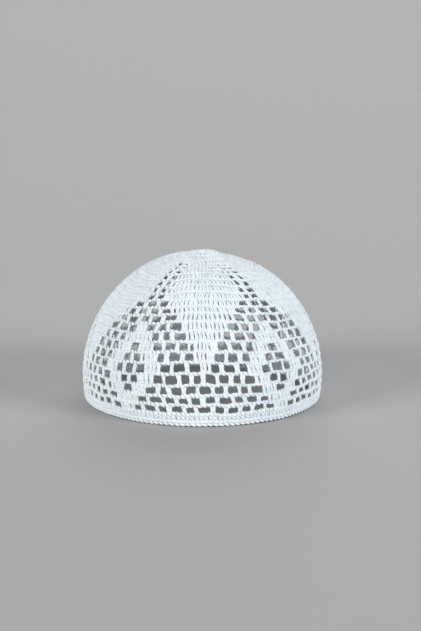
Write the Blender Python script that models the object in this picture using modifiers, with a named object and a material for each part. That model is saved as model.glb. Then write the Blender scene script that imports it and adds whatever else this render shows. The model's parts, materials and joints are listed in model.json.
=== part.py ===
"""Crocheted cotton skull cap, worked in rounds from the crown ring down to a beaded rim.

The cap is one worked piece, so it is one hollow solid standing on its rim: an oval dome with the net cut
through. The pattern repeats five times round. Each repeat is a solid leaf-shaped petal with net beside it,
and every cut gap stands for a block of about two by two of the small square holes of the net.
"""
import math
from collections import namedtuple

import bmesh
import bpy
from mathutils import Matrix, Vector

# Driving sizes, in metres. The cap stands on z = 0, and its front faces -Y.
HALF_WIDTH = 0.088
DEPTH_RATIO = 1.12
HEIGHT = 0.110
WIDEST_HEIGHT = 0.019
RIM_HALF_WIDTH = 0.0865
DOME_POWER = 1.92
WALL = 0.0020
RIM_WALL = 0.0026
CROWN_TIP_HEIGHT = 0.0012
CROWN_TIP_RADIUS = 0.0095

# The pattern, in whole rounds of double crochet counted from the crown ring
REPEATS = 5
PETAL_TURN = math.radians(0.9)
RING_RADIUS = 0.0045
ROUND_HEIGHT = 0.00675
RAIL = 0.0030
CUT_DEPTH = 0.010

# How finely the dome is faceted and measured
SIDES = 80
DOME_POINTS = 13
DOME_POINTS_PER_WALL_POINT = 6
PROFILE_SAMPLES = 400
OVAL_SAMPLES = 720
SMALL_TURN = math.radians(0.5)
SHARP_ANGLE = math.radians(35)
MERGE = 0.00001

# One row for each band of gaps in a repeat. middle is where the middle of the band lies, as a share of the
# repeat counted from the petal's centre line, and pitch is the share that one gap and one post take.
GapBand = namedtuple("GapBand", "first_round last_round middle gaps pitch")
GAP_BANDS = (
    GapBand(first_round=7, last_round=8, middle=0.500, gaps=1, pitch=0.310),
    GapBand(first_round=9, last_round=10, middle=0.500, gaps=1, pitch=0.260),
    GapBand(first_round=11, last_round=12, middle=0.500, gaps=2, pitch=0.188),
    GapBand(first_round=13, last_round=14, middle=0.500, gaps=3, pitch=0.192),
    GapBand(first_round=15, last_round=16, middle=0.247, gaps=2, pitch=0.125),
    GapBand(first_round=15, last_round=16, middle=0.753, gaps=2, pitch=0.125),
    GapBand(first_round=17, last_round=18, middle=0.175, gaps=2, pitch=0.120),
    GapBand(first_round=17, last_round=18, middle=0.825, gaps=2, pitch=0.120),
    GapBand(first_round=17, last_round=19, middle=0.500, gaps=1, pitch=0.165),
    GapBand(first_round=19, last_round=20, middle=0.000, gaps=4, pitch=0.170),
    GapBand(first_round=21, last_round=22, middle=0.000, gaps=5, pitch=0.169),
)

COTTON_COLOUR = (0.80, 0.83, 0.88, 1.0)
COTTON_ROUGHNESS = 0.9


def clear_scene():
    for thing in list(bpy.data.objects):
        bpy.data.objects.remove(thing, do_unlink=True)


def new_collection(name):
    collection = bpy.data.collections.new(name)
    bpy.context.scene.collection.children.link(collection)
    return collection


def cotton():
    material = bpy.data.materials.new("white_crochet_cotton")
    material.use_nodes = True
    shader = material.node_tree.nodes["Principled BSDF"]
    shader.inputs["Base Color"].default_value = COTTON_COLOUR
    shader.inputs["Roughness"].default_value = COTTON_ROUGHNESS
    shader.inputs["Metallic"].default_value = 0.0
    return material


def dome_point(turn, inset):
    """Half width and height of the dome, turn going from 0 at the crown to a quarter turn where it is widest."""
    half_width = (HALF_WIDTH - inset) * math.sin(turn) ** (2 / DOME_POWER)
    rise = HEIGHT - CROWN_TIP_HEIGHT - WIDEST_HEIGHT - inset
    height = WIDEST_HEIGHT + rise * max(math.cos(turn), 0.0) ** (2 / DOME_POWER)
    if half_width < CROWN_TIP_RADIUS:
        height += CROWN_TIP_HEIGHT * (1 + math.cos(math.pi * half_width / CROWN_TIP_RADIUS)) / 2
    return half_width, height


def side_point(drop, inset):
    """Half width and height of the nearly upright wall, drop going from 0 at the widest round to 1 at the rim."""
    half_width = HALF_WIDTH - (HALF_WIDTH - RIM_HALF_WIDTH) * drop ** 2 - inset
    return half_width, WIDEST_HEIGHT * (1 - drop)


def meridian(samples, inset=0.0):
    """The half profile from the crown down to the rim."""
    points = [dome_point(math.pi / 2 * step / samples, inset) for step in range(samples + 1)]
    points[0] = (0.0, points[0][1])
    side_samples = samples // DOME_POINTS_PER_WALL_POINT
    points += [side_point(step / side_samples, inset) for step in range(1, side_samples + 1)]
    return points


def measured_meridian():
    """The outer profile with its length from the crown, measured half way between the side and the front."""
    mean_stretch = (1 + DEPTH_RATIO) / 2
    rows = []
    length = 0.0
    last = None
    for half_width, height in meridian(PROFILE_SAMPLES):
        if last is not None:
            length += math.hypot((half_width - last[0]) * mean_stretch, height - last[1])
        rows.append((length, half_width, height))
        last = (half_width, height)
    return rows


def at_length(rows, length):
    """Half width and height of the outer face at a length from the crown."""
    for above, below in zip(rows, rows[1:]):
        if length <= below[0]:
            share = (length - above[0]) / (below[0] - above[0])
            return (above[1] + share * (below[1] - above[1]), above[2] + share * (below[2] - above[2]))
    return rows[-1][1], rows[-1][2]


def oval_point(half_width, height, angle):
    """A point of the oval section, the angle counted from the front towards +X."""
    return Vector((half_width * math.sin(angle), -half_width * DEPTH_RATIO * math.cos(angle), height))


def oval_angle(share):
    """The section's angle where a share of the way round has been walked from the front."""
    target = share % 1.0
    lengths = [0.0]
    for step in range(OVAL_SAMPLES):
        angle = 2 * math.pi * (step + 0.5) / OVAL_SAMPLES
        lengths.append(lengths[-1] + math.hypot(math.cos(angle), DEPTH_RATIO * math.sin(angle)))
    for step in range(OVAL_SAMPLES):
        if target * lengths[-1] <= lengths[step + 1]:
            inside = (target * lengths[-1] - lengths[step]) / (lengths[step + 1] - lengths[step])
            return 2 * math.pi * (step + inside) / OVAL_SAMPLES
    return 2 * math.pi


def oval_perimeter(half_width):
    half_depth = half_width * DEPTH_RATIO
    bow = ((half_depth - half_width) / (half_depth + half_width)) ** 2
    return math.pi * (half_width + half_depth) * (1 + 3 * bow / (10 + math.sqrt(4 - 3 * bow)))


def shell_profile():
    """Down the outer face, under the flat rim, and up the inner face to the crown."""
    outer = meridian(DOME_POINTS)
    inner = meridian(DOME_POINTS, WALL)
    inner[-1] = (RIM_HALF_WIDTH - RIM_WALL, 0.0)
    return outer + list(reversed(inner))


def turned_shell(collection):
    """The closed shell, turned from its profile and then stretched front to back."""
    profile = shell_profile()
    mesh = bpy.data.meshes.new("cap_profile")
    corners = [(half_width, 0.0, height) for half_width, height in profile]
    edges = [(index, index + 1) for index in range(len(corners) - 1)]
    mesh.from_pydata(corners, edges, [])
    turned = bpy.data.objects.new("cap_profile", mesh)
    collection.objects.link(turned)
    screw = turned.modifiers.new("turn", "SCREW")
    screw.steps = SIDES
    screw.render_steps = SIDES
    screw.use_merge_vertices = True
    screw.merge_threshold = MERGE
    bpy.context.view_layer.update()
    evaluated = turned.evaluated_get(bpy.context.evaluated_depsgraph_get())
    shell_mesh = bpy.data.meshes.new_from_object(evaluated)
    bpy.data.objects.remove(turned, do_unlink=True)
    shell_mesh.name = "cap"
    shell_mesh.transform(Matrix.Diagonal((1.0, DEPTH_RATIO, 1.0, 1.0)))
    return bpy.data.objects.new("cap", shell_mesh)


def gap_box(rows, share, middle_length, width, height):
    """Where one gap's cutter stands: across the round, down the dome, and out through the wall."""
    half_width, level = at_length(rows, middle_length)
    angle = oval_angle(share)
    middle = oval_point(half_width, level, angle)
    ahead = oval_point(half_width, level, angle + SMALL_TURN)
    behind = oval_point(half_width, level, angle - SMALL_TURN)
    across = (ahead - behind).normalized()
    above = oval_point(*at_length(rows, middle_length - height / 2), angle)
    below = oval_point(*at_length(rows, middle_length + height / 2), angle)
    down = (below - above).normalized()
    out = down.cross(across).normalized()
    turn = Matrix((across, down, out)).transposed().to_4x4()
    return Matrix.Translation(middle) @ turn @ Matrix.Diagonal((width, height, CUT_DEPTH, 1.0))


def gap_cutters(collection):
    """All the gaps of the net as one mesh of separate boxes."""
    rows = measured_meridian()
    cutters = bmesh.new()
    for band in GAP_BANDS:
        start = RING_RADIUS + (band.first_round - 1) * ROUND_HEIGHT
        end = RING_RADIUS + band.last_round * ROUND_HEIGHT
        middle_length = (start + end) / 2
        height = end - start - RAIL
        round_width = oval_perimeter(at_length(rows, middle_length)[0])
        width = band.pitch * round_width / REPEATS - RAIL
        for repeat in range(REPEATS):
            for gap in range(band.gaps):
                offset = band.middle + (gap - (band.gaps - 1) / 2) * band.pitch
                share = (repeat + offset) / REPEATS + PETAL_TURN / (2 * math.pi)
                box = gap_box(rows, share, middle_length, width, height)
                bmesh.ops.create_cube(cutters, size=1.0, matrix=box)
    bmesh.ops.recalc_face_normals(cutters, faces=cutters.faces)
    mesh = bpy.data.meshes.new("net_gaps")
    cutters.to_mesh(mesh)
    cutters.free()
    cutter = bpy.data.objects.new("net_gaps", mesh)
    cutter.hide_render = True
    cutter.display_type = "WIRE"
    collection.objects.link(cutter)
    return cutter


def build_cap():
    parts = new_collection("crocheted_skull_cap")
    tools = new_collection("cutters")
    cap = turned_shell(parts)
    cap.data.materials.append(cotton())
    parts.objects.link(cap)
    net = cap.modifiers.new("net", "BOOLEAN")
    net.operation = "DIFFERENCE"
    net.solver = "EXACT"
    net.object = gap_cutters(tools)
    cap.data.shade_smooth()
    cap.data.set_sharp_from_angle(angle=SHARP_ANGLE)


clear_scene()
build_cap()
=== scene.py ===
"""A crocheted cotton skull cap: every stitch is yarn, charted flat and then wrapped onto the dome.

Each round of the chart becomes a row of points, one for each stitch. A node tree puts a stitch of yarn on
every point and bends the flat rounds onto the dome, along its meridian and round its oval section.
"""
import json
import math
from collections import namedtuple

import bpy
import numpy as np
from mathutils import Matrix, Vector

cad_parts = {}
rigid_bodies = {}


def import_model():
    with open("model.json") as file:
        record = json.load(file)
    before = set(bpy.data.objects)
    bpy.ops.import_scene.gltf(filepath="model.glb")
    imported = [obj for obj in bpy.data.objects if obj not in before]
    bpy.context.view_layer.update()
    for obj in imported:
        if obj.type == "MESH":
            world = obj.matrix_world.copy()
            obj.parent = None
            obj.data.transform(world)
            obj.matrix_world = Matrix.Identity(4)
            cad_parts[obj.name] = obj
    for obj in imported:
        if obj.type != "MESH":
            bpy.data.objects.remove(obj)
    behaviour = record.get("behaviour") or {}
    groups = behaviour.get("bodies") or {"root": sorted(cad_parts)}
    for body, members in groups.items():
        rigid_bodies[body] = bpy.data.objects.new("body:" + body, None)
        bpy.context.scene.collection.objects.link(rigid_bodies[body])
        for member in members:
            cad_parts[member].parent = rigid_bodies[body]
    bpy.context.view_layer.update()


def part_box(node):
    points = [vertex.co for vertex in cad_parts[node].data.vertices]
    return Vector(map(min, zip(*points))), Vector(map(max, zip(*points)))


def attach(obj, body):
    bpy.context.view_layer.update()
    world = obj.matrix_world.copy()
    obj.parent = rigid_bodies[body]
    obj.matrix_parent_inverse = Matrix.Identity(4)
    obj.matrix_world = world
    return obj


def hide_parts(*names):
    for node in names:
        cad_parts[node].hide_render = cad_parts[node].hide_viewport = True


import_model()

MM = 0.001

# The dome, from the frame's own box and the same shape rule as the solid cap
CAP_LOW, CAP_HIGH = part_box("cap")
HALF_WIDTH = (CAP_HIGH.x - CAP_LOW.x) / 2
DEPTH_RATIO = (CAP_HIGH.y - CAP_LOW.y) / (CAP_HIGH.x - CAP_LOW.x)
MEAN_STRETCH = (1 + DEPTH_RATIO) / 2
HEIGHT = CAP_HIGH.z - CAP_LOW.z
WIDEST_HEIGHT = 19 * MM
RIM_HALF_WIDTH = 86.5 * MM
DOME_POWER = 1.92
CROWN_TIP_HEIGHT = 1.2 * MM
CROWN_TIP_RADIUS = 9.5 * MM
DOME_SAMPLES = 240
WALL_SAMPLES = 30
OVAL_SAMPLES = 360

# Where the middle of the crochet lies under the solid's outer face
FABRIC_INSET = 2.6 * MM

# The chart. All the rounds are double crochet worked outwards from the crown ring, and an edge round of
# single crochet ends them. A hole is two chains wide, or one rather long chain in the small rounds near the
# crown.
REPEATS = 5
PETAL_TURN = math.radians(0.9)
RING_RADIUS = 4.5
HOLE_CHAINS = 2
SMALL_HOLE_ROUNDS = range(3, 10)
LONG_CHAIN = 1.35

# height is in millimetres. petal is the posts of the solid leaf, petal_holes the holes that take its place
# in the lowest rounds. net_holes is the band beside it, shoulder the solid posts after that, and
# diamond_holes the holes inside the shoulders.
Round = namedtuple("Round", "height petal petal_holes net_holes shoulder diamond_holes")
ROUNDS = (
    Round(height=6.55, petal=3, petal_holes=0, net_holes=0, shoulder=0, diamond_holes=0),
    Round(height=6.55, petal=6, petal_holes=0, net_holes=0, shoulder=0, diamond_holes=0),
    Round(height=6.55, petal=9, petal_holes=0, net_holes=0, shoulder=0, diamond_holes=0),
    Round(height=6.3, petal=9, petal_holes=0, net_holes=2, shoulder=0, diamond_holes=0),
    Round(height=6.1, petal=11, petal_holes=0, net_holes=2, shoulder=0, diamond_holes=0),
    Round(height=6.6, petal=13, petal_holes=0, net_holes=2, shoulder=0, diamond_holes=0),
    Round(height=7.3, petal=15, petal_holes=0, net_holes=2, shoulder=0, diamond_holes=0),
    Round(height=7.2, petal=17, petal_holes=0, net_holes=2, shoulder=0, diamond_holes=0),
    Round(height=6.7, petal=19, petal_holes=0, net_holes=2, shoulder=0, diamond_holes=0),
    Round(height=6.8, petal=21, petal_holes=0, net_holes=2, shoulder=0, diamond_holes=0),
    Round(height=6.3, petal=17, petal_holes=0, net_holes=3, shoulder=0, diamond_holes=0),
    Round(height=6.0, petal=15, petal_holes=0, net_holes=4, shoulder=0, diamond_holes=0),
    Round(height=6.6, petal=13, petal_holes=0, net_holes=5, shoulder=0, diamond_holes=0),
    Round(height=7.3, petal=11, petal_holes=0, net_holes=3, shoulder=3, diamond_holes=0),
    Round(height=7.3, petal=9, petal_holes=0, net_holes=3, shoulder=7, diamond_holes=0),
    Round(height=7.5, petal=7, petal_holes=0, net_holes=3, shoulder=4, diamond_holes=1),
    Round(height=7.4, petal=5, petal_holes=0, net_holes=3, shoulder=4, diamond_holes=2),
    Round(height=7.4, petal=3, petal_holes=0, net_holes=3, shoulder=4, diamond_holes=3),
    Round(height=7.5, petal=0, petal_holes=8, net_holes=0, shoulder=4, diamond_holes=2),
    Round(height=6.9, petal=0, petal_holes=9, net_holes=0, shoulder=4, diamond_holes=1),
    Round(height=6.6, petal=0, petal_holes=10, net_holes=0, shoulder=7, diamond_holes=0),
    Round(height=6.2, petal=0, petal_holes=11, net_holes=0, shoulder=4, diamond_holes=0),
    Round(height=4.6, petal=36, petal_holes=0, net_holes=0, shoulder=0, diamond_holes=0),
)
LAST_ROUND = len(ROUNDS) - 1
EDGE_ROUND = len(ROUNDS)
EDGE_STITCHES = 30
EDGE_HEIGHT = 3.6

# Which rounds each piece holds, the first and the last
PIECES = (
    ("crown_rounds", 0, 5),
    ("upper_petal_rounds", 6, 9),
    ("middle_petal_rounds", 10, 13),
    ("diamond_rounds", 14, 17),
    ("lower_net_rounds", 18, 21),
    ("rim_rounds", 22, 22),
)

# The posts of the first rounds stand close, and the loops along the top of the last net rounds are thicker
CLOSE_ROUNDS = range(0, 12)
THICK_RAIL_ROUNDS = range(19, 22)
THICK_RAIL = 1.22

# How the rounds settle on the oval head, by the length from the crown in millimetres. lift is how much
# higher they lie at the front and back, and lower at the sides. spread is how much wider their stitches are
# at the front and back, as a share. dip is how far the crown falls away inside the smooth dome, and sag is
# how much further it falls on the +X side, or less far where it is negative.
Settle = namedtuple("Settle", "length lift spread dip sag")
SETTLED = (
    Settle(length=0, lift=0.0, spread=-0.10, dip=0.0, sag=0.0),
    Settle(length=10, lift=0.5, spread=-0.10, dip=1.3, sag=-1.2),
    Settle(length=20, lift=1.1, spread=-0.10, dip=1.6, sag=1.3),
    Settle(length=30, lift=2.6, spread=-0.09, dip=0.6, sag=2.2),
    Settle(length=45, lift=4.9, spread=-0.06, dip=0.0, sag=0.8),
    Settle(length=60, lift=5.3, spread=-0.05, dip=0.0, sag=0.0),
    Settle(length=85, lift=5.2, spread=-0.02, dip=0.0, sag=0.0),
    Settle(length=105, lift=4.6, spread=-0.01, dip=0.0, sag=0.0),
    Settle(length=125, lift=3.4, spread=0.03, dip=0.0, sag=0.0),
    Settle(length=138, lift=1.8, spread=0.04, dip=0.0, sag=0.0),
    Settle(length=151, lift=1.2, spread=0.05, dip=0.0, sag=0.0),
    Settle(length=162, lift=0.0, spread=0.03, dip=0.0, sag=0.0),
)

# The crown is turned towards +X by this share of the whole way round, less and less down to this length
CROWN_TWIST = 0.0065
TWIST_LENGTH = 60

# The rounds wave over the petals: the wave grows over some rounds near the crown and fades before the rim
FIRST_WAVE_ROUND = 3
WAVE_GROWTH = 4
LAST_WAVE_ROUND = 21
WAVE_FADE = 3

# The hand's unevenness, as a share. Over the last three rounds it is held more and more by the close edge,
# and a post with no hole beside it is held by its neighbours.
LOOSE_FADE = 3
LEAST_LOOSE = 0.25
HELD_POST = 0.25

# How much further round a post's foot lies than its top, in millimetres, from a round on. The open rounds
# lean more.
PostLean = namedtuple("PostLean", "first_round lean")
POST_LEANS = (
    PostLean(first_round=0, lean=0.0),
    PostLean(first_round=3, lean=0.2),
    PostLean(first_round=10, lean=0.4),
    PostLean(first_round=17, lean=0.65),
)

# One stitch, in millimetres. Its own chart square is this size, and the wrap stretches it to its place.
STITCH_WIDTH = 3.2
ROUND_HEIGHT = 6.75
YARN_SIDES = 6

# A direction that no length of yarn runs along, to start its first ring of corners from
OFF_AXIS = (0.31, 0.17, 1.0)

# The two strands of loops along a stitch's top: how far they rise past each other, how far in front and
# behind they lie, and their radius from one end to the other
LOOP_STEPS = 4
RAIL_RISE = 0.64
RAIL_DEPTH = 0.80
THIN_YARN = 0.74
RAIL_FRONT = (THIN_YARN, 0.92, 1.02, 0.92, THIN_YARN)

# The beads of the edge round, and how far above the round's end they sit
BEAD_LEVEL = 1.70
BEAD_RISE = 0.62
BEAD_DEPTH = 0.80
BEAD_FRONT = (THIN_YARN, 0.82, 0.92, 0.82, THIN_YARN)
BEAD_BACK = 0.6

# The posts: how far apart their two legs stand at the ends, as a factor, the radius of the yarn, how much of
# the legs' space is left half way down, and the radius of the core that fills the loops of close-standing
# posts. Each name puts its stitch in the order of the kinds, and CORE_LEVEL is how far out the core lies.
PostShape = namedtuple("PostShape", "name leg_space yarn waist core")
POST_SHAPES = (
    PostShape(name="stitch_0_post", leg_space=1.15, yarn=0.83, waist=0.82, core=1.1),
    PostShape(name="stitch_1_close_post", leg_space=1.32, yarn=0.98, waist=0.88, core=1.1),
    PostShape(name="stitch_2_full_post", leg_space=1.32, yarn=0.98, waist=0.95, core=1.1),
    PostShape(name="stitch_3_net_post", leg_space=1.20, yarn=0.98, waist=1.0, core=0.0),
)
POST, CLOSE_POST, FULL_POST, NET_POST, CHAIN, EDGE = range(6)
CORE_LEVEL = 0.40

# What each stitch's point carries into the node tree, the settled values at both ends of its round
STITCH_COLUMNS = ("around", "share", "start", "height", "lean", "rail", "wave", "loose", "free")
SETTLED_COLUMNS = ("lift", "spread", "dip", "sag", "twist")
ROUND_ENDS = ("_above", "_below")

MATH = "ShaderNodeMath"
VECTOR_MATH = "ShaderNodeVectorMath"
MIX = "ShaderNodeMix"
SPLIT = "ShaderNodeSeparateXYZ"
JOIN = "ShaderNodeCombineXYZ"


def dome_profile():
    """Half width and height down the outer face, from the crown to the rim."""
    points = []
    for step in range(DOME_SAMPLES + 1):
        turn = math.pi / 2 * step / DOME_SAMPLES
        half_width = HALF_WIDTH * math.sin(turn) ** (2 / DOME_POWER)
        rise = HEIGHT - CROWN_TIP_HEIGHT - WIDEST_HEIGHT
        height = WIDEST_HEIGHT + rise * max(math.cos(turn), 0.0) ** (2 / DOME_POWER)
        if half_width < CROWN_TIP_RADIUS:
            height += CROWN_TIP_HEIGHT * (1 + math.cos(math.pi * half_width / CROWN_TIP_RADIUS)) / 2
        points.append((half_width, height))
    for step in range(1, WALL_SAMPLES + 1):
        drop = step / WALL_SAMPLES
        half_width = HALF_WIDTH - (HALF_WIDTH - RIM_HALF_WIDTH) * drop ** 2
        points.append((half_width, WIDEST_HEIGHT * (1 - drop)))
    return points


def guide_curve(name, points, cyclic):
    """A thin line that the node tree samples."""
    curve = bpy.data.curves.new(name, "CURVE")
    curve.dimensions = "3D"
    spline = curve.splines.new("POLY")
    spline.points.add(len(points) - 1)
    for point, place in zip(spline.points, points):
        point.co = (*place, 1.0)
    spline.use_cyclic_u = cyclic
    guide = bpy.data.objects.new(name, curve)
    bpy.context.scene.collection.objects.link(guide)
    return guide


def dome_meridian():
    """The profile, widened half way towards the front's greater depth, so that its length is the mean."""
    points = [(half_width * MEAN_STRETCH, 0.0, height) for half_width, height in dome_profile()]
    return guide_curve("dome_meridian", points, False)


def head_oval():
    """The section's shape for a half width of one, walked from the front towards +X."""
    turns = [2 * math.pi * step / OVAL_SAMPLES for step in range(OVAL_SAMPLES)]
    points = [(math.sin(turn), -DEPTH_RATIO * math.cos(turn), 0.0) for turn in turns]
    return guide_curve("head_oval", points, True)


class YarnTemplate:
    """One stitch as lengths of yarn, in millimetres: x across, y down the round, z out of the fabric."""

    def __init__(self):
        self.corners = []
        self.faces = []
        self.twist = []
        self.stretch = []

    def length(self, path, thickness, stretch):
        """A closed tube through the points of path, thickness being one radius or one for each point."""
        path = np.array(path, float)
        thickness = np.broadcast_to(np.array(thickness, float), len(path))
        tangents = np.gradient(path, axis=0)
        tangents /= np.linalg.norm(tangents, axis=1)[:, None]
        side = np.cross(tangents[0], OFF_AXIS)
        first = len(self.corners)
        run = 0.0
        for index, (middle, tangent, radius) in enumerate(zip(path, tangents, thickness)):
            side = side - tangent * side.dot(tangent)
            side /= np.linalg.norm(side)
            other = np.cross(tangent, side)
            if index:
                run += float(np.linalg.norm(path[index] - path[index - 1]))
            for corner in range(YARN_SIDES):
                turn = 2 * math.pi * corner / YARN_SIDES
                self.corners.append(middle + radius * (math.cos(turn) * side + math.sin(turn) * other))
                self.twist.append((run, corner / YARN_SIDES))
                self.stretch.append(stretch)
        rings = len(path)
        for ring in range(rings - 1):
            for corner in range(YARN_SIDES):
                after = (corner + 1) % YARN_SIDES
                low = first + ring * YARN_SIDES
                high = low + YARN_SIDES
                self.faces.append((low + corner, high + corner, high + after, low + after))
        self.faces.append(tuple(first + corner for corner in range(YARN_SIDES)))
        last = first + (rings - 1) * YARN_SIDES
        self.faces.append(tuple(last + corner for corner in reversed(range(YARN_SIDES))))

    def finish(self, name, collection):
        """The mesh. The yarn's own length and turn are its UV map, and how it stretches an attribute."""
        mesh = bpy.data.meshes.new(name)
        scale = np.array((MM, 1 / ROUND_HEIGHT, MM))
        mesh.from_pydata([tuple(corner * scale) for corner in self.corners], [], self.faces)
        yarn_map = mesh.uv_layers.new(name="yarn")
        for polygon in mesh.polygons:
            turns = [self.twist[mesh.loops[loop].vertex_index][1] for loop in polygon.loop_indices]
            wraps = len(turns) == 4 and max(turns) - min(turns) > 0.5
            for loop, turn in zip(polygon.loop_indices, turns):
                run = self.twist[mesh.loops[loop].vertex_index][0]
                yarn_map.data[loop].uv = (run, turn + 1.0 if wraps and turn < 0.5 else turn)
        stretch = mesh.attributes.new("stretch", "FLOAT", "POINT")
        stretch.data.foreach_set("value", np.array(self.stretch, np.float32))
        mesh.polygons.foreach_set("use_smooth", [len(polygon.vertices) == 4 for polygon in mesh.polygons])
        template = bpy.data.objects.new(name, mesh)
        collection.objects.link(template)


def mirrored(path):
    return [(-x, y, z) for x, y, z in path]


def add_top_loops(stitch, level, rise, depth, front, back):
    """The two strands along a stitch's top, turning once past each other on the way to the next stitch."""
    near, far = [], []
    for step in range(LOOP_STEPS + 1):
        share = step / LOOP_STEPS
        across = (share - 0.5) * STITCH_WIDTH
        turn = math.pi * (share - 0.5)
        near.append((across, level + rise * math.sin(turn), depth * math.cos(turn)))
        far.append((across, level - rise * math.sin(turn), -depth * math.cos(turn)))
    stitch.length(near, front, 1.0)
    stitch.length(far, back, 1.0)


def post_stitch(shape, collection):
    """A double crochet: two legs side by side, the wrap round their middle, and the loops along the top."""
    stitch = YarnTemplate()
    height = ROUND_HEIGHT
    yarn = shape.yarn
    ends = shape.leg_space
    middle = shape.leg_space * shape.waist
    leg = [
        (-0.25, -0.70, -0.90),
        (-0.68 * ends, 0.15, -0.45),
        (-0.66 * middle, 1.25, 0.24),
        (-0.61 * middle, 2.45, 0.46),
        (-0.40 * middle, 3.60, 0.50),
        (-0.55 * middle, 4.75, 0.36),
        (-0.66 * ends, 5.75, 0.08),
        (-0.40, height, -0.30),
    ]
    other_leg = [
        (0.35, -0.70, -0.90),
        (0.70 * ends, 0.15, -0.40),
        (0.66 * middle, 1.25, 0.16),
        (0.55 * middle, 2.45, 0.24),
        (0.40 * middle, 3.60, 0.20),
        (0.61 * middle, 4.75, 0.30),
        (0.68 * ends, 5.75, 0.18),
        (0.40, height, -0.20),
    ]
    wrap = [
        (-0.86 * middle, 4.45, -0.40),
        (-0.92 * middle, 4.25, 0.25),
        (-0.36 * middle, 3.85, 0.84),
        (0.36 * middle, 3.30, 0.84),
        (0.92 * middle, 2.90, 0.25),
        (0.86 * middle, 2.70, -0.40),
    ]
    leg_thickness = (0.50, 0.92 * yarn, yarn, yarn, 0.96 * yarn, yarn, yarn, 0.6)
    wrap_thickness = (0.36, 0.48, 0.60, 0.60, 0.48, 0.36)
    stitch.length(leg, leg_thickness, 0.0)
    stitch.length(other_leg, leg_thickness, 0.0)
    stitch.length(wrap, wrap_thickness, 0.0)
    add_top_loops(stitch, height, RAIL_RISE, RAIL_DEPTH, RAIL_FRONT, THIN_YARN)
    if shape.core:
        half = STITCH_WIDTH / 2
        stitch.length([(-half, height, CORE_LEVEL), (half, height, CORE_LEVEL)], shape.core, 1.0)
    stitch.finish(shape.name, collection)


def chain_stitch(name, collection):
    """One chain of those that bridge a hole."""
    stitch = YarnTemplate()
    add_top_loops(stitch, ROUND_HEIGHT, RAIL_RISE, RAIL_DEPTH, RAIL_FRONT, THIN_YARN)
    stitch.finish(name, collection)


def edge_stitch(name, collection):
    """A single crochet of the edge round: a short V, and a plump bead where its loops turn over the rim."""
    stitch = YarnTemplate()
    leg = [
        (-0.95, -1.10, -0.75),
        (-1.05, 0.10, -0.40),
        (-0.95, 1.40, 0.40),
        (-0.62, 2.80, 0.55),
        (-0.25, 4.20, 0.35),
        (-0.10, 5.30, -0.30),
    ]
    leg_thickness = (0.50, 0.70, 0.84, 0.86, 0.72, 0.50)
    stitch.length(leg, leg_thickness, 0.0)
    stitch.length(mirrored(leg), leg_thickness, 0.0)
    add_top_loops(stitch, ROUND_HEIGHT - BEAD_LEVEL, BEAD_RISE, BEAD_DEPTH, BEAD_FRONT, BEAD_BACK)
    stitch.finish(name, collection)


def stitch_templates():
    """The templates in a collection of their own, named so that their order is the order of the kinds."""
    collection = bpy.data.collections.new("stitches")
    bpy.context.scene.collection.children.link(collection)
    for shape in POST_SHAPES:
        post_stitch(shape, collection)
    chain_stitch("stitch_4_chain", collection)
    edge_stitch("stitch_5_edge", collection)
    return collection


def net(holes, chains=HOLE_CHAINS):
    """A run of holes with one post between each two."""
    stitches = []
    for hole in range(holes):
        if hole:
            stitches.append(NET_POST)
        stitches += [CHAIN] * chains
    return stitches


def petal_post(index):
    """The kind of post that a round's petals are made of."""
    if index in CLOSE_ROUNDS:
        return CLOSE_POST
    return FULL_POST if index == LAST_ROUND else POST


def repeat_stitches(index, row):
    """One repeat of a round, and how many of its stitches are the run that is centred on the petal."""
    middle = [petal_post(index)] * row.petal or net(row.petal_holes)
    rest = net(row.net_holes, 1 if index in SMALL_HOLE_ROUNDS else HOLE_CHAINS)
    if row.shoulder:
        rest = rest + [FULL_POST] * row.shoulder
        if row.diamond_holes:
            rest = rest + net(row.diamond_holes) + [FULL_POST] * row.shoulder
        rest = rest + net(row.net_holes)
    return middle + rest, len(middle)


# A stitch of the chart. around and share are parts of the whole way round, start and height are in
# millimetres, and free is how freely it sways.
Stitch = namedtuple("Stitch", "kind around share start height round free")


def row_points(first, last):
    """The stitches of some rounds, each with its place and the size of its chart square."""
    rows = []
    start = RING_RADIUS
    for index, row in enumerate(ROUNDS):
        stitches, middle = repeat_stitches(index, row)
        chain_width = LONG_CHAIN if index in SMALL_HOLE_ROUNDS else 1.0
        widths = np.array([chain_width if kind == CHAIN else 1.0 for kind in stitches])
        middles = np.cumsum(widths) - widths / 2 - widths[:middle].sum() / 2
        total = REPEATS * widths.sum()
        if first <= index <= last:
            for repeat in range(REPEATS):
                for place, kind in enumerate(stitches):
                    around = repeat / REPEATS + middles[place] / total
                    beside = {stitches[place - 1], stitches[(place + 1) % len(stitches)]}
                    free = 1.0 if CHAIN in beside else HELD_POST
                    rows.append(Stitch(kind, around, widths[place] / total, start, row.height, index, free))
        start += row.height
    if last == LAST_ROUND:
        share = 1 / (REPEATS * EDGE_STITCHES)
        for place in range(REPEATS * EDGE_STITCHES):
            rows.append(Stitch(EDGE, place * share, share, start, EDGE_HEIGHT, EDGE_ROUND, HELD_POST))
    return rows


def add(tree, kind, links=None, **settings):
    """One node with its settings. links gives an input, by name or number, a value or another's output."""
    node = tree.nodes.new(kind)
    for name, value in settings.items():
        setattr(node, name, value)
    for key, value in (links or {}).items():
        if isinstance(value, bpy.types.NodeSocket):
            tree.links.new(value, node.inputs[key])
        else:
            node.inputs[key].default_value = value
    return node


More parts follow.
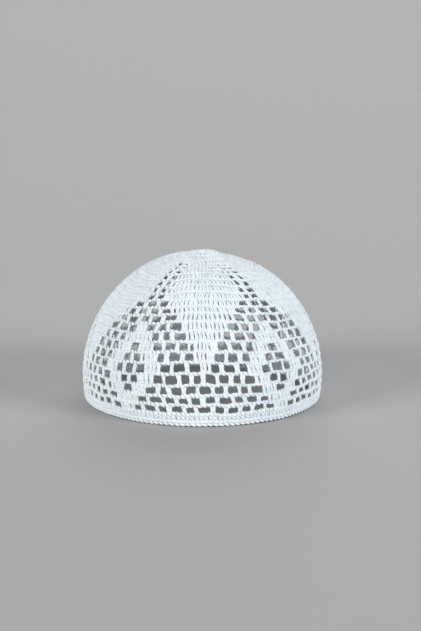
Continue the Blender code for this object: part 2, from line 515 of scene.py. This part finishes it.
def place_stitches(tree, given):
    """A stitch of the right kind on every point, as loose yarn that still lies in its own chart square."""
    # Each post leans and shifts a little by chance
    chance = add(
        tree, "FunctionNodeRandomValue", {"Min": (-1, -1, -1), "Max": (1, 1, 1), "Seed": given["Seed"]},
        data_type="FLOAT_VECTOR",
    ).outputs["Value"]
    points = add(
        tree, "GeometryNodeStoreNamedAttribute",
        {"Geometry": given["Points"], "Name": "chance", "Value": chance},
        data_type="FLOAT_VECTOR", domain="POINT",
    ).outputs["Geometry"]
    templates = add(
        tree, "GeometryNodeCollectionInfo",
        {"Collection": given["Stitches"], "Separate Children": True, "Reset Children": True},
    ).outputs["Instances"]
    kinds = add(tree, "GeometryNodeInputNamedAttribute", {"Name": "kind"}, data_type="INT")
    kind = kinds.outputs["Attribute"]
    placed = add(
        tree, "GeometryNodeInstanceOnPoints",
        {"Points": points, "Instance": templates, "Pick Instance": True, "Instance Index": kind},
    ).outputs["Instances"]
    return add(tree, "GeometryNodeRealizeInstances", {"Geometry": placed}).outputs["Geometry"]


def stitch_values(tree, local):
    """Every stitch's values by name, the settled ones taken where the point of yarn lies in its round."""
    value = {}
    ends = [name + end for name in SETTLED_COLUMNS for end in ROUND_ENDS]
    for name in (*STITCH_COLUMNS, *ends, "stretch"):
        reader = add(tree, "GeometryNodeInputNamedAttribute", {"Name": name}, data_type="FLOAT")
        value[name] = reader.outputs["Attribute"]
    above, below = ROUND_ENDS
    for name in SETTLED_COLUMNS:
        links = {0: local["Y"], 2: value[name + above], 3: value[name + below]}
        value[name] = add(tree, MIX, links, data_type="FLOAT", clamp_factor=False).outputs[0]
    return value


def meridian_at(tree, given, length):
    """The place and the slope of the meridian at a length from the crown."""
    line = add(tree, "GeometryNodeObjectInfo", {"Object": given["Meridian"]}).outputs["Geometry"]
    return add(tree, "GeometryNodeSampleCurve", {"Curves": line, "Length": length}, mode="LENGTH").outputs


def chart_place(tree, given, local, value):
    """How far down the chart a point of yarn lies, and how far round it, as a share of the way round."""
    # The loops keep their thickness whatever the height of their round
    past_top = add(tree, MATH, {0: local["Y"], 1: 1.0}, operation="SUBTRACT").outputs[0]
    rail = add(tree, MATH, {0: past_top, 1: value["rail"], 2: 1.0}, operation="MULTIPLY_ADD").outputs[0]
    links = {0: value["stretch"], 2: local["Y"], 3: rail}
    row_place = add(tree, MIX, links, data_type="FLOAT").outputs[0]
    links = {0: row_place, 1: value["height"], 2: value["start"]}
    down = add(tree, MATH, links, operation="MULTIPLY_ADD").outputs[0]

    # The length of the round there, in metres
    mean_place = add(tree, SPLIT, {"Vector": meridian_at(tree, given, down)["Position"]}).outputs
    links = {0: mean_place["X"], 1: given["Mean Stretch"]}
    radius = add(tree, MATH, links, operation="DIVIDE").outputs[0]
    links = {0: radius, 1: 2 * math.pi * MEAN_STRETCH}
    round_length = add(tree, MATH, links, operation="MULTIPLY").outputs[0]

    # Loops along the top stretch with their stitch
    stitch_share = add(tree, MATH, {0: local["X"], 1: STITCH_WIDTH * MM}, operation="DIVIDE").outputs[0]
    stretched = add(tree, MATH, {0: stitch_share, 1: value["share"]}, operation="MULTIPLY").outputs[0]

    # Posts keep their own thickness, and lean and shift by chance
    chance = add(tree, "GeometryNodeInputNamedAttribute", {"Name": "chance"}, data_type="FLOAT_VECTOR")
    chances = add(tree, SPLIT, {"Vector": chance.outputs["Attribute"]}).outputs
    sway = add(tree, MATH, {0: given["Sway"], 1: value["free"]}, operation="MULTIPLY").outputs[0]
    links = {0: chances["X"], 1: sway, 2: value["lean"]}
    slant = add(tree, MATH, links, operation="MULTIPLY_ADD").outputs[0]
    half_way = add(tree, MATH, {0: local["Y"], 1: 0.5}, operation="SUBTRACT").outputs[0]
    lean = add(tree, MATH, {0: slant, 1: half_way}, operation="MULTIPLY").outputs[0]
    spare = add(tree, MATH, {0: given["Plumpness"], 1: value["free"]}, operation="MULTIPLY").outputs[0]
    plumpness = add(tree, MATH, {0: chances["Z"], 1: spare, 2: 1.0}, operation="MULTIPLY_ADD").outputs[0]
    own_width = add(tree, MATH, {0: local["X"], 1: plumpness}, operation="MULTIPLY").outputs[0]
    leaning = add(tree, MATH, {0: own_width, 1: lean}, operation="ADD").outputs[0]
    shifted = add(tree, MATH, {0: chances["Y"], 1: sway, 2: leaning}, operation="MULTIPLY_ADD").outputs[0]
    kept = add(tree, MATH, {0: shifted, 1: round_length}, operation="DIVIDE").outputs[0]

    links = {0: value["stretch"], 2: kept, 3: stretched}
    aside = add(tree, MIX, links, data_type="FLOAT").outputs[0]
    charted = add(tree, MATH, {0: value["around"], 1: aside}, operation="ADD").outputs[0]
    return down, charted


def settled_place(tree, given, value, down, charted):
    """Where that point lies once the rounds settle: how far round, as a share, and how far down."""
    # Towards the front and back the rounds lie higher, and their stitches spread
    two_turns = add(tree, MATH, {0: charted, 1: 4 * math.pi}, operation="MULTIPLY").outputs[0]
    sideways = add(tree, MATH, {0: two_turns}, operation="SINE").outputs[0]
    twisted = add(tree, MATH, {0: charted, 1: value["twist"]}, operation="ADD").outputs[0]
    links = {0: sideways, 1: value["spread"], 2: twisted}
    around = add(tree, MATH, links, operation="MULTIPLY_ADD").outputs[0]
    forwards = add(tree, MATH, {0: two_turns}, operation="COSINE").outputs[0]
    lift = add(tree, MATH, {0: forwards, 1: value["lift"]}, operation="MULTIPLY").outputs[0]

    # They also rise over each petal and sink between petals, but not at the crown or the rim
    petal_turns = add(tree, MATH, {0: charted, 1: 2 * math.pi * REPEATS}, operation="MULTIPLY").outputs[0]
    wave = add(tree, MATH, {0: petal_turns}, operation="COSINE").outputs[0]
    links = {0: value["wave"], 1: given["Wave Height"]}
    wave_height = add(tree, MATH, links, operation="MULTIPLY").outputs[0]
    rise = add(tree, MATH, {0: wave, 1: wave_height, 2: lift}, operation="MULTIPLY_ADD").outputs[0]
    length = add(tree, MATH, {0: down, 1: rise}, operation="SUBTRACT").outputs[0]
    return around, length


def dome_place(tree, given, local, value, around, length):
    """The place of that point on the dome, the way out of the dome there, and the point of yarn itself."""
    meridian = meridian_at(tree, given, length)
    profile = add(tree, SPLIT, {"Vector": meridian["Position"]}).outputs
    slope = add(tree, SPLIT, {"Vector": meridian["Tangent"]}).outputs
    from_front = add(tree, MATH, {0: around, 1: given["Petal Turn"]}, operation="ADD").outputs[0]
    above_zero = add(tree, MATH, {0: from_front, 1: 1.0}, operation="ADD").outputs[0]
    turned = add(tree, MATH, {0: above_zero}, operation="FRACT").outputs[0]
    line = add(tree, "GeometryNodeObjectInfo", {"Object": given["Head Oval"]}).outputs["Geometry"]
    oval = add(tree, "GeometryNodeSampleCurve", {"Curves": line, "Factor": turned}, mode="FACTOR").outputs

    # The oval at this round's size and height, which dips and sags near the crown
    links = {0: profile["X"], 1: given["Mean Stretch"]}
    radius = add(tree, MATH, links, operation="DIVIDE").outputs[0]
    towards_side = add(tree, SPLIT, {"Vector": oval["Position"]}).outputs["X"]
    side_share = add(tree, MATH, {0: towards_side, 1: 0.5, 2: 0.5}, operation="MULTIPLY_ADD").outputs[0]
    sag = add(tree, MATH, {0: value["sag"], 1: side_share}, operation="MULTIPLY").outputs[0]
    fall = add(tree, MATH, {0: value["dip"], 1: sag}, operation="ADD").outputs[0]
    height = add(tree, MATH, {0: profile["Z"], 1: fall}, operation="SUBTRACT").outputs[0]
    level = add(tree, JOIN, {"Z": height}).outputs[0]
    links = {"Vector": oval["Position"], "Scale": radius}
    outline = add(tree, VECTOR_MATH, links, operation="SCALE").outputs["Vector"]
    on_dome = add(tree, VECTOR_MATH, {0: outline, 1: level}, operation="ADD").outputs["Vector"]

    # Straight out of the dome: across the way down it and the way round it
    links = {0: slope["X"], 1: given["Mean Stretch"]}
    widening = add(tree, MATH, links, operation="DIVIDE").outputs[0]
    links = {"Vector": oval["Position"], "Scale": widening}
    wider = add(tree, VECTOR_MATH, links, operation="SCALE").outputs["Vector"]
    drop = add(tree, JOIN, {"Z": slope["Z"]}).outputs[0]
    downwards = add(tree, VECTOR_MATH, {0: wider, 1: drop}, operation="ADD").outputs["Vector"]
    links = {0: downwards, 1: oval["Tangent"]}
    across = add(tree, VECTOR_MATH, links, operation="CROSS_PRODUCT").outputs["Vector"]
    outwards = add(tree, VECTOR_MATH, {0: across}, operation="NORMALIZE").outputs["Vector"]
    out = add(tree, MATH, {0: local["Z"], 1: given["Fabric Inset"]}, operation="SUBTRACT").outputs[0]
    links = {"Vector": outwards, "Scale": out}
    step_out = add(tree, VECTOR_MATH, links, operation="SCALE").outputs["Vector"]
    stitched = add(tree, VECTOR_MATH, {0: on_dome, 1: step_out}, operation="ADD").outputs["Vector"]
    return on_dome, outwards, stitched


def uneven_pull(tree, given, value, on_dome, outwards):
    """Hand work is never even: the net is pulled about within its own surface, and less so at the rim."""
    scale = add(tree, MATH, {0: 1.0, 1: given["Uneven Size"]}, operation="DIVIDE").outputs[0]
    links = {"Vector": on_dome, "Scale": scale, "Detail": 1.0}
    noise = add(tree, "ShaderNodeTexNoise", links, noise_dimensions="3D").outputs["Color"]
    pull = add(tree, MATH, {0: given["Uneven Amount"], 1: value["loose"]}, operation="MULTIPLY").outputs[0]
    centred = add(tree, VECTOR_MATH, {0: noise, 1: (0.5, 0.5, 0.5)}, operation="SUBTRACT").outputs["Vector"]
    pulled = add(tree, VECTOR_MATH, {"Vector": centred, "Scale": pull}, operation="SCALE").outputs["Vector"]
    off_length = add(tree, VECTOR_MATH, {0: pulled, 1: outwards}, operation="DOT_PRODUCT").outputs["Value"]
    links = {"Vector": outwards, "Scale": off_length}
    off_surface = add(tree, VECTOR_MATH, links, operation="SCALE").outputs["Vector"]
    links = {"Vector": off_surface, "Scale": given["Flatness"]}
    flattened = add(tree, VECTOR_MATH, links, operation="SCALE").outputs["Vector"]
    return add(tree, VECTOR_MATH, {0: pulled, 1: flattened}, operation="SUBTRACT").outputs["Vector"]


def wrap_tree():
    """Puts a stitch on every point and bends the flat rounds onto the dome."""
    tree = bpy.data.node_groups.new("wrap_stitches_on_dome", "GeometryNodeTree")
    inputs = (
        ("Points", "NodeSocketGeometry", None),
        ("Stitches", "NodeSocketCollection", None),
        ("Meridian", "NodeSocketObject", None),
        ("Head Oval", "NodeSocketObject", None),
        ("Yarn", "NodeSocketMaterial", None),
        ("Mean Stretch", "NodeSocketFloat", MEAN_STRETCH),
        ("Fabric Inset", "NodeSocketFloat", FABRIC_INSET),
        ("Petal Turn", "NodeSocketFloat", PETAL_TURN / (2 * math.pi)),
        ("Wave Height", "NodeSocketFloat", 0.8 * MM),
        ("Uneven Amount", "NodeSocketFloat", 4.2 * MM),
        ("Uneven Size", "NodeSocketFloat", 11 * MM),
        ("Flatness", "NodeSocketFloat", 0.8),
        ("Sway", "NodeSocketFloat", 1.1 * MM),
        ("Plumpness", "NodeSocketFloat", 0.2),
        ("Seed", "NodeSocketInt", 7),
    )
    for name, kind, default in inputs:
        socket = tree.interface.new_socket(name, in_out="INPUT", socket_type=kind)
        if default is not None:
            socket.default_value = default
    tree.interface.new_socket("Crochet", in_out="OUTPUT", socket_type="NodeSocketGeometry")
    given = add(tree, "NodeGroupInput").outputs

    # In a stitch's own chart square, x and z are in metres, and y goes from 0 to 1 down the round
    loose = place_stitches(tree, given)
    local = add(tree, SPLIT, {"Vector": add(tree, "GeometryNodeInputPosition").outputs[0]}).outputs
    value = stitch_values(tree, local)
    down, charted = chart_place(tree, given, local, value)
    around, length = settled_place(tree, given, value, down, charted)
    on_dome, outwards, stitched = dome_place(tree, given, local, value, around, length)
    uneven = uneven_pull(tree, given, value, on_dome, outwards)
    place = add(tree, VECTOR_MATH, {0: stitched, 1: uneven}, operation="ADD").outputs["Vector"]
    links = {"Geometry": loose, "Position": place}
    wrapped = add(tree, "GeometryNodeSetPosition", links).outputs["Geometry"]
    links = {"Geometry": wrapped, "Material": given["Yarn"]}
    coloured = add(tree, "GeometryNodeSetMaterial", links).outputs["Geometry"]
    add(tree, "NodeGroupOutput", {"Crochet": coloured})
    return tree


def lean_of(index):
    """How much further round a post's foot lies than its top, in metres."""
    return max(row.lean for row in POST_LEANS if index >= row.first_round) * MM


def wave_of(index):
    """How much a round waves, from none at the crown to the full wave and back to none at the rim."""
    growing = (index - FIRST_WAVE_ROUND) / WAVE_GROWTH
    fading = (LAST_WAVE_ROUND - index) / WAVE_FADE
    return min(1.0, max(0.0, growing)) * min(1.0, max(0.0, fading))


def rail_of(row):
    """How thick the loops along a round's top are, next to the round's own height."""
    thickness = THICK_RAIL if row.round in THICK_RAIL_ROUNDS else 1.0
    return thickness * ROUND_HEIGHT / row.height


def looseness_of(index):
    """How far a round is pulled about, next to a round far from the edge."""
    return min(1.0, max(LEAST_LOOSE, (EDGE_ROUND - index) / LOOSE_FADE))


def settled_at(column, lengths):
    """One column of the settling table at some lengths from the crown, in millimetres."""
    return np.interp(lengths, [row.length for row in SETTLED], [getattr(row, column) for row in SETTLED])


def twist_at(lengths):
    """How far the crown is turned at some lengths from it, as a share of the whole way round."""
    return CROWN_TWIST * np.clip(1 - np.array(lengths) / TWIST_LENGTH, 0.0, 1.0)


def stitch_columns(rows):
    """What each stitch's point carries into the node tree, by name, with the lengths in metres."""
    starts = np.array([row.start for row in rows])
    ends = starts + np.array([row.height for row in rows])
    columns = {
        "around": [row.around for row in rows],
        "share": [row.share for row in rows],
        "start": starts * MM,
        "height": (ends - starts) * MM,
        "lean": [lean_of(row.round) for row in rows],
        "rail": [rail_of(row) for row in rows],
        "wave": [wave_of(row.round) for row in rows],
        "loose": [looseness_of(row.round) for row in rows],
        "free": [row.free for row in rows],
    }
    for end, lengths in zip(ROUND_ENDS, (starts, ends)):
        for column in ("lift", "dip", "sag"):
            columns[column + end] = settled_at(column, lengths) * MM
        columns["spread" + end] = settled_at("spread", lengths) / (4 * math.pi)
        columns["twist" + end] = twist_at(lengths)
    return columns


def crochet_piece(name, rows, tree, inputs):
    """The rounds of one piece as a plain mesh."""
    mesh = bpy.data.meshes.new(name)
    mesh.from_pydata([(0.0, 0.0, 0.0)] * len(rows), [], [])
    mesh.attributes.new("kind", "INT", "POINT").data.foreach_set("value", [row.kind for row in rows])
    columns = stitch_columns(rows)
    for column, values in columns.items():
        attribute = mesh.attributes.new(column, "FLOAT", "POINT")
        attribute.data.foreach_set("value", np.array(values, np.float32))
    points = bpy.data.objects.new(name + "_points", mesh)
    bpy.context.scene.collection.objects.link(points)
    modifier = points.modifiers.new("wrap", "NODES")
    modifier.node_group = tree
    for item in tree.interface.items_tree:
        if item.item_type == "SOCKET" and item.in_out == "INPUT" and item.name in inputs:
            modifier[item.identifier] = inputs[item.name]
    bpy.context.view_layer.update()
    evaluated = points.evaluated_get(bpy.context.evaluated_depsgraph_get())
    result = bpy.data.meshes.new_from_object(evaluated)
    bpy.data.objects.remove(points, do_unlink=True)
    result.name = name
    for column in ("kind", "stretch", "chance", *columns):
        result.attributes.remove(result.attributes[column])
    piece = bpy.data.objects.new(name, result)
    bpy.context.scene.collection.objects.link(piece)
    return piece


def linear(hex_colour):
    """An sRGB hex colour as linear values."""
    values = []
    for start in (1, 3, 5):
        value = int(hex_colour[start:start + 2], 16) / 255
        values.append(value / 12.92 if value <= 0.04045 else ((value + 0.055) / 1.055) ** 2.4)
    return (*values, 1.0)


def new_material(name):
    material = bpy.data.materials.new(name)
    material.use_nodes = True
    return material, material.node_tree, material.node_tree.nodes["Principled BSDF"]


# The yarn is plied from three strands, and PLY_PITCH is the run of yarn in millimetres from one strand's
# ridge to the next one's. The fuzz is drawn coarser than real fibres, so that it shows.
PLIES = 3
PLY_PITCH = 1.7
FUZZ_SIZE = 0.35 * MM
PATCH_SIZE = 9 * MM
GROOVE_DEPTH = 0.25 * MM


def crochet_cotton():
    """Mercerised cotton yarn: matt, with a faint sheen, twisted grooves and a white that drifts a little."""
    material, tree, shader = new_material("white_crochet_cotton")
    yarn = add(tree, "ShaderNodeUVMap", uv_map="yarn").outputs["UV"]
    axes = add(tree, SPLIT, {"Vector": yarn}).outputs
    run = add(tree, MATH, {0: axes["X"], 1: 1 / PLY_PITCH}, operation="MULTIPLY").outputs[0]
    twist = add(tree, MATH, {0: axes["Y"], 1: PLIES, 2: run}, operation="MULTIPLY_ADD").outputs[0]
    turn = add(tree, MATH, {0: twist, 1: 2 * math.pi}, operation="MULTIPLY").outputs[0]
    ply = add(tree, MATH, {0: turn}, operation="SINE").outputs[0]
    place = add(tree, "ShaderNodeTexCoord").outputs["Object"]
    links = {"Vector": place, "Scale": 1 / FUZZ_SIZE, "Detail": 2.0}
    fuzz = add(tree, "ShaderNodeTexNoise", links).outputs["Fac"]
    height = add(tree, MATH, {0: ply, 1: 0.5, 2: fuzz}, operation="MULTIPLY_ADD").outputs[0]
    links = {"Strength": 0.9, "Distance": GROOVE_DEPTH, "Height": height}
    bump = add(tree, "ShaderNodeBump", links).outputs["Normal"]
    links = {"Vector": place, "Scale": 1 / PATCH_SIZE, "Detail": 2.0}
    patches = add(tree, "ShaderNodeTexNoise", links).outputs["Fac"]
    links = {0: patches, 6: linear("#E1EAEE"), 7: linear("#F1F6F7")}
    colour = add(tree, MIX, links, data_type="RGBA").outputs[2]
    tree.links.new(colour, shader.inputs["Base Color"])
    tree.links.new(bump, shader.inputs["Normal"])
    shader.inputs["Roughness"].default_value = 0.88
    shader.inputs["Sheen Weight"].default_value = 0.15
    shader.inputs["Sheen Roughness"].default_value = 0.4
    shader.inputs["Specular IOR Level"].default_value = 0.3
    return material


def floor_paint():
    """Smooth matt paint, which gives the eye nothing but the cap's own shadow."""
    material, _, shader = new_material("plain_pale_floor")
    shader.inputs["Base Color"].default_value = linear("#B3B2B0")
    shader.inputs["Roughness"].default_value = 0.8
    return material


# The crown ring: its radius, the radius of its yarn, and how far its middle lies under the dome's top
CROWN_RING_RADIUS = 2.6 * MM
CROWN_RING_YARN = 1.0 * MM
CROWN_RING_DROP = 3.9 * MM


def crown_ring(material):
    """The tightened ring of yarn that the first round is worked into."""
    bpy.ops.mesh.primitive_torus_add(
        major_radius=CROWN_RING_RADIUS, minor_radius=CROWN_RING_YARN, major_segments=30, minor_segments=8,
        location=(0, 0, HEIGHT - CROWN_RING_DROP),
    )
    ring = bpy.context.object
    ring.name = "crown_ring"
    ring.data.transform(ring.matrix_world)
    ring.location = (0, 0, 0)
    ring.data.materials.append(material)
    ring.data.polygons.foreach_set("use_smooth", [True] * len(ring.data.polygons))
    return ring


# The floor reaches far past the picture on every side, in metres
FLOOR_HALF_SIZE = 60.0
FLOOR_CORNERS = ((-1, -1), (1, -1), (1, 1), (-1, 1))


def floor():
    mesh = bpy.data.meshes.new("floor")
    corners = [(x * FLOOR_HALF_SIZE, y * FLOOR_HALF_SIZE, 0.0) for x, y in FLOOR_CORNERS]
    mesh.from_pydata(corners, [], [(0, 1, 2, 3)])
    mesh.materials.append(floor_paint())
    ground = bpy.data.objects.new("floor", mesh)
    bpy.context.scene.collection.objects.link(ground)


# The studio's wide even lights. bearing is counted from the front towards +X, elevation from the floor up,
# and spread is how wide the light looks, all in degrees. strength is in watts a square metre.
Light = namedtuple("Light", "name bearing elevation spread strength colour")
LIGHTS = (
    Light(name="key", bearing=-54, elevation=17, spread=30, strength=1.62, colour="#FFFFFF"),
    Light(name="fill", bearing=58, elevation=16.5, spread=30, strength=1.80, colour="#F8FAFF"),
    Light(name="front", bearing=-6, elevation=16, spread=26, strength=0.32, colour="#FFFFFF"),
    Light(name="back", bearing=172, elevation=27, spread=50, strength=0.85, colour="#FFFFFF"),
)
ROOM_COLOUR = "#E0E3E8"
ROOM_STRENGTH = 0.40


def studio():
    for row in LIGHTS:
        light = bpy.data.lights.new(row.name, "SUN")
        light.angle = math.radians(row.spread)
        light.energy = row.strength
        light.color = linear(row.colour)[:3]
        lamp = bpy.data.objects.new(row.name, light)
        lamp.rotation_euler = (math.radians(90 - row.elevation), 0, math.radians(row.bearing))
        bpy.context.scene.collection.objects.link(lamp)
    world = bpy.data.worlds.new("studio")
    world.use_nodes = True
    room = world.node_tree.nodes["Background"]
    room.inputs["Color"].default_value = linear(ROOM_COLOUR)
    room.inputs["Strength"].default_value = ROOM_STRENGTH
    bpy.context.scene.world = world
    bpy.context.scene.view_settings.view_transform = "Standard"
    bpy.context.scene.view_settings.look = "Medium High Contrast"


# The camera that took the photograph, and the pixel column of the cap's axis in the photograph's frame
PHOTO_WIDTH = 421
AXIS_PIXEL = 202.3
FOCAL_PIXELS = 2820
SENSOR = 36.0
CAMERA_DISTANCE = 2.0
CAMERA_HEIGHT = 0.487
LOOK_DOWN = math.radians(12.07)
FARTHEST_SIGHT = 200.0


def camera():
    lens = bpy.data.cameras.new("camera")
    lens.sensor_fit = "HORIZONTAL"
    lens.sensor_width = SENSOR
    lens.lens = FOCAL_PIXELS * SENSOR / PHOTO_WIDTH
    lens.shift_x = (PHOTO_WIDTH / 2 - AXIS_PIXEL) / PHOTO_WIDTH
    lens.clip_end = FARTHEST_SIGHT
    eye = bpy.data.objects.new("camera", lens)
    eye.location = (0, -CAMERA_DISTANCE, CAMERA_HEIGHT)
    eye.rotation_euler = (math.pi / 2 - LOOK_DOWN, 0, 0)
    bpy.context.scene.collection.objects.link(eye)
    bpy.context.scene.camera = eye


def build_cap():
    """All the pieces of the cap, riding on its one body and standing in for its solid."""
    cotton = crochet_cotton()
    tree = wrap_tree()
    stitches = stitch_templates()
    meridian = dome_meridian()
    oval = head_oval()
    inputs = {"Stitches": stitches, "Meridian": meridian, "Head Oval": oval, "Yarn": cotton}
    pieces = [crown_ring(cotton)]
    for name, first, last in PIECES:
        pieces.append(crochet_piece(name, row_points(first, last), tree, inputs))
    for helper in [*stitches.objects, meridian, oval]:
        bpy.data.objects.remove(helper, do_unlink=True)
    bpy.data.collections.remove(stitches)
    for piece in pieces:
        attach(piece, "root")
        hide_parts("cap")
    return pieces


for piece in build_cap():
    print(piece.name, sum(len(polygon.vertices) - 2 for polygon in piece.data.polygons))
floor()
studio()
camera()
